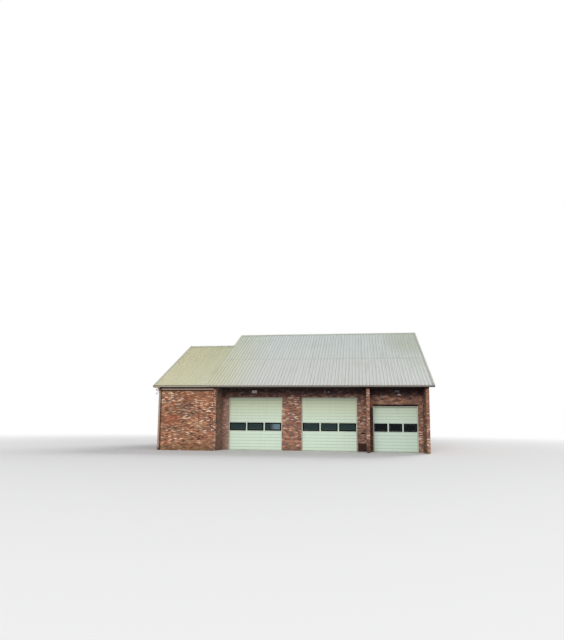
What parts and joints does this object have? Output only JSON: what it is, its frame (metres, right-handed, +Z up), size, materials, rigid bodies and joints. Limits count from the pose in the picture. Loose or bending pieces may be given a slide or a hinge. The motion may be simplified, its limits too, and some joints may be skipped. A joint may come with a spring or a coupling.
{
  "type": "fire station building",
  "caption": "Brick fire station with overhead vehicle doors behind a deep porch, brick fin walls, a ribbed metal gable roof and a lower side wing.",
  "frame": {"origin": "on the ground, below the main ridge and half-way along the front eave", "axes": "+X along the front to the right, +Y from the porch to the back, +Z up"},
  "size_m": [18.48, 21.272, 9.4738],
  "materials": {
    "brick": "rough mixed brick",
    "concrete": "trowelled concrete",
    "roof_metal": "weathered satin paint",
    "wing_roof_metal": "weathered satin paint",
    "trim_metal": "satin paint",
    "gutter_metal": "weathered satin paint",
    "downspout_tan": "satin paint",
    "soffit_dark": "dark stain",
    "frieze_tan": "matt paint",
    "door_enamel": "satin enamel",
    "trim_cream": "satin paint",
    "frame_black": "matt",
    "door_glass": "clear over a dark room",
    "light_white": "satin paint",
    "light_dark": "satin paint",
    "light_grey": "satin paint",
    "slot_black": "satin paint"
  },
  "bodies": {
    "root": {"main_left_wall": "brick", "main_right_wall": "brick", "main_back_wall": "brick", "wing_front_wall": "brick", "wing_back_wall": "brick", "wing_left_wall": "brick", "middle_fin_wall": "brick", "bay_piers": "brick", "bay_header_wall": "brick", "floor_slab": "concrete", "main_roof_front": "roof_metal", "main_roof_back": "roof_metal", "wing_roof_front": "wing_roof_metal", "wing_roof_back": "wing_roof_metal", "main_ridge_cap": "trim_metal", "wing_ridge_cap": "trim_metal", "main_right_rake_trim": "trim_metal", "main_left_rake_trim": "trim_metal", "wing_left_rake_trim": "trim_metal", "wing_wall_flashing": "trim_metal", "front_gutter": "gutter_metal", "main_back_gutter": "gutter_metal", "wing_back_gutter": "gutter_metal", "front_downspout": "downspout_tan", "main_back_downspout": "downspout_tan", "wing_back_downspout": "downspout_tan", "front_soffit": "soffit_dark", "main_back_soffit": "soffit_dark", "wing_back_soffit": "soffit_dark", "wing_frieze_board": "frieze_tan", "door_1_leaf": "door_enamel", "door_2_leaf": "door_enamel", "door_3_leaf": "door_enamel", "door_trims": "trim_cream", "door_1_window_frames": "frame_black", "door_2_window_frames": "frame_black", "door_3_window_frames": "frame_black", "door_1_glass": "door_glass", "door_2_glass": "door_glass", "door_3_glass": "door_glass", "floodlight_wing": "light_white", "floodlight_door_1": "light_white", "floodlight_door_2": "light_dark", "floodlight_door_3": "light_grey", "letter_slot": "slot_black"}
  },
  "joints": []
}
